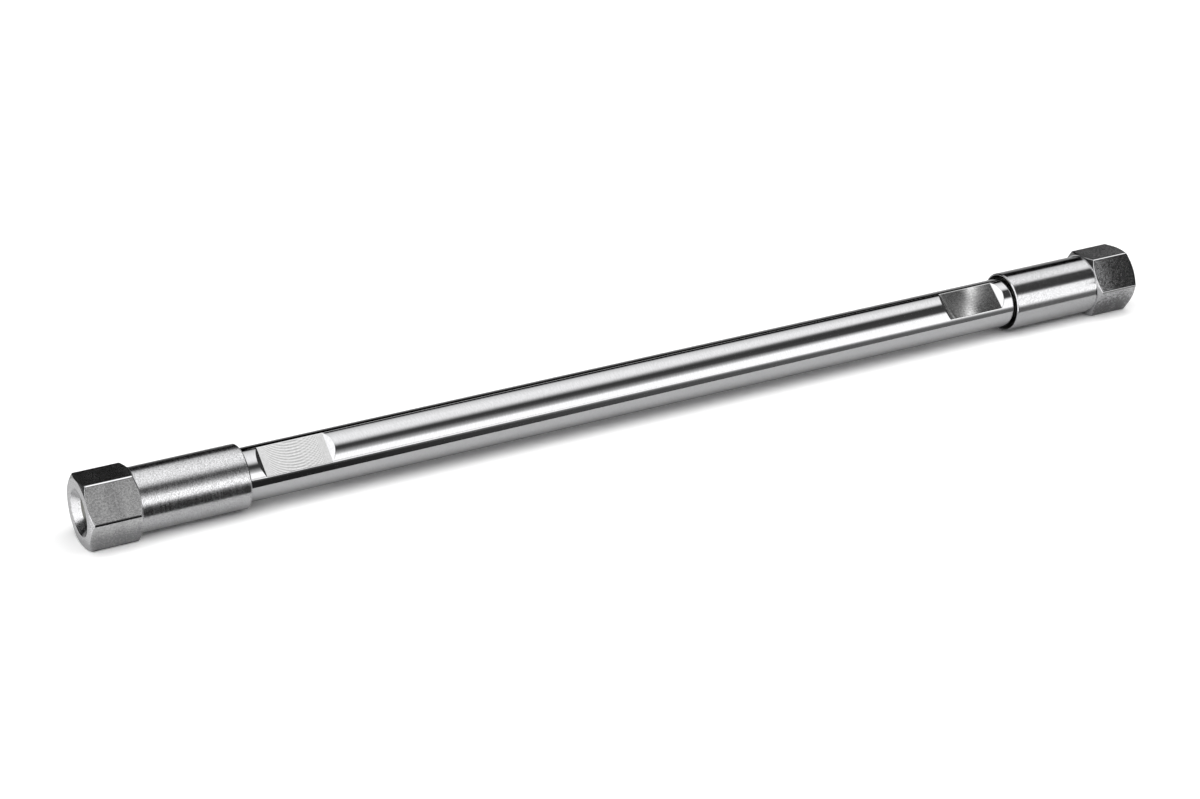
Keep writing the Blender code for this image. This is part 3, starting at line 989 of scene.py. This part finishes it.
def studio_world():
    """White to the camera, strips of light along the column to the steel, and soft light else."""
    world = bpy.data.worlds.new("studio")
    world.cycles.sampling_method = "NONE"
    build = Shader(world)
    axes = build.axes(build.node("ShaderNodeTexCoord").outputs["Generated"])
    around = build.math("ARCTAN2", axes[2], build.times(axes[1], -1.0))
    turn = build.remap(around, -math.pi, math.pi)
    steel = steel_light(build, axes, turn)
    aside = build.remap(build.math("ABSOLUTE", axes[0]), 0.35, 0.85, 1.12, 0.5)
    soft = build.times(angle_ramp(build, turn, SOFT_LIGHT, brightest=2.2), aside)
    rays = build.node("ShaderNodeLightPath").outputs
    level = build.blend(rays["Is Glossy Ray"], soft, steel)
    white = build.math("MAXIMUM", rays["Is Camera Ray"], rays["Is Transmission Ray"])
    level = build.blend(white, level, 1.0)
    light = build.node("ShaderNodeBackground", Color=(1, 1, 1, 1), Strength=level)
    return build.output("ShaderNodeOutputWorld", light.outputs[0])


def pale_surface(name, stage, lifted):
    """A pale matt surface. Its part that is lifted looks white to the camera but for shadows."""
    build = new_material(name)
    shade, lift = build.diffuse(stage.floor_colour), build.diffuse(stage.floor_colour)
    share_seen = build.times(build.node("ShaderNodeLightPath").outputs["Is Camera Ray"], lifted)
    lift = build.join("ShaderNodeMixShader", share_seen, build.diffuse((0, 0, 0)), lift)
    return build.output("ShaderNodeOutputMaterial", build.join("ShaderNodeAddShader", shade, lift))


def flat_surface(name, corners, material):
    """A flat face through its corners."""
    mesh = bpy.data.meshes.new(name)
    mesh.from_pydata([tuple(corner) for corner in corners], [], [tuple(range(len(corners)))])
    mesh.materials.append(material)
    surface = new_object(name, mesh)
    return surface


def lay_floor(stage):
    """The floor, just under the column, and as wide as the camera sees."""
    wide = FLOOR_HALF_WIDTH
    corners = ((-wide, -wide), (wide, -wide), (wide, wide), (-wide, wide))
    corners = [(x, y, FLOOR_HEIGHT) for x, y in corners]
    floor = flat_surface("floor", corners, pale_surface("pale_floor", stage, 1.0))
    floor.visible_glossy = False


def lay_board(stage):
    """The pale board under the column, which the steel reflects in place of the floor."""
    start, end = -HALF_LENGTH - stage.board_start, HALF_LENGTH + BOARD_PAST_OUTLET
    front = [(start, -stage.board_inlet), (0, -stage.board_middle), (end, -stage.board_outlet)]
    back = [(end, stage.board_back), (start, stage.board_back)]
    corners = [(x, y, BOARD_HEIGHT) for x, y in front + back]
    return flat_surface("board", corners, pale_surface("pale_board", stage, 0.0))


def camera_sight(stage):
    """The point that the camera looks at, and the direction from there back to the camera."""
    level = math.cos(stage.elevation)
    turn = stage.azimuth
    back = Vector((math.sin(turn) * level, -math.cos(turn) * level, math.sin(stage.elevation)))
    return Vector((stage.target_x, 0, AXIS_HEIGHT - stage.target_below_axis)), back


def shade_flag(stage):
    """A dark flag that the outlet hexagon's front flat mirrors.

    It stands square to the mirrored line of sight, at a distance from the flat's middle, and
    reaches from a little beside that line far out past the column's end.
    """
    facing = Vector((0, -math.cos(SIXTH / 2), math.sin(SIXTH / 2)))
    middle = Vector((HALF_LENGTH - stage.flag_middle, 0, AXIS_HEIGHT))
    middle += HEX_ACROSS_FLATS / 2 * facing
    target, back = camera_sight(stage)
    sight = (target + stage.distance * back - middle).normalized()
    mirrored = 2 * facing.dot(sight) * facing - sight
    along = (Vector((1, 0, 0)) - mirrored.x * mirrored).normalized()
    up = mirrored.cross(along)
    centre = middle + stage.flag_distance * mirrored
    near, far, tall = -stage.flag_edge, stage.flag_width, stage.flag_height
    corners = [
        centre + right * along + high * up
        for right, high in ((near, -tall), (far, -tall), (far, tall), (near, tall))
    ]
    build = new_material("dark_flag")
    dark = build.diffuse((FLAG_LEVEL, FLAG_LEVEL, FLAG_LEVEL))
    return flat_surface("flag", corners, build.output("ShaderNodeOutputMaterial", dark))


def place_camera(stage):
    """The camera looks at a point near the column's middle, at the photograph's angle."""
    target, back = camera_sight(stage)
    right = (-back).cross(Vector((0, 0, 1))).normalized()
    up = right.cross(-back)
    cosine, sine = math.cos(stage.roll), math.sin(stage.roll)
    rolled_right = cosine * right + sine * up
    rolled_up = cosine * up - sine * right
    rotation = Matrix((rolled_right, rolled_up, back)).transposed().to_4x4()
    data = bpy.data.cameras.new("camera")
    data.sensor_width = 36
    data.sensor_fit = "HORIZONTAL"
    data.lens = stage.lens
    data.clip_start = 0.01
    camera = new_object("camera", data)
    camera.matrix_world = Matrix.Translation(target + back * stage.distance) @ rotation
    bpy.context.scene.camera = camera


class COLUMN_OT_stage(Operator):
    """Set up the floor, the studio light and the camera"""

    bl_idname = "column.stage"
    bl_label = "Floor, light and camera"

    def execute(self, context):
        stage = context.scene.column_stage
        context.scene.view_settings.view_transform = "Standard"
        context.scene.world = studio_world()
        lay_floor(stage)
        for reflected in (lay_board(stage), shade_flag(stage)):
            reflected.visible_camera = False
            reflected.visible_diffuse = False
            reflected.visible_shadow = False
        place_camera(stage)
        return {"FINISHED"}


class COLUMN_PT_panel(Panel):
    """Lists the column's pieces and their sizes"""

    bl_idname = "COLUMN_PT_panel"
    bl_label = "HPLC column"
    bl_space_type = "VIEW_3D"
    bl_region_type = "UI"
    bl_category = "Column"

    def draw(self, context):
        layout = self.layout
        for operator in OPERATORS:
            layout.operator(operator.bl_idname)
        for name in SETTINGS:
            box = layout.box()
            group = getattr(context.scene, name)
            for key in group.bl_rna.properties.keys():
                if key not in ("rna_type", "name"):
                    box.prop(group, key)


SETTINGS = {
    "column_tube": TubeSettings,
    "column_nut": NutSettings,
    "column_finish": FinishSettings,
    "column_stage": StageSettings,
}
OPERATORS = (COLUMN_OT_tube, COLUMN_OT_end_nuts, COLUMN_OT_inner_pieces, COLUMN_OT_stage)
CLASSES = (*SETTINGS.values(), *OPERATORS, COLUMN_PT_panel)


def register():
    for item in CLASSES:
        bpy.utils.register_class(item)
    for name, group in SETTINGS.items():
        setattr(bpy.types.Scene, name, PointerProperty(type=group))


def unregister():
    for name in SETTINGS:
        delattr(bpy.types.Scene, name)
    for item in reversed(CLASSES):
        bpy.utils.unregister_class(item)


def main():
    register()
    bpy.ops.column.tube()
    bpy.ops.column.end_nuts()
    bpy.ops.column.inner_pieces()
    bpy.ops.column.stage()


if __name__ == "__main__":
    main()
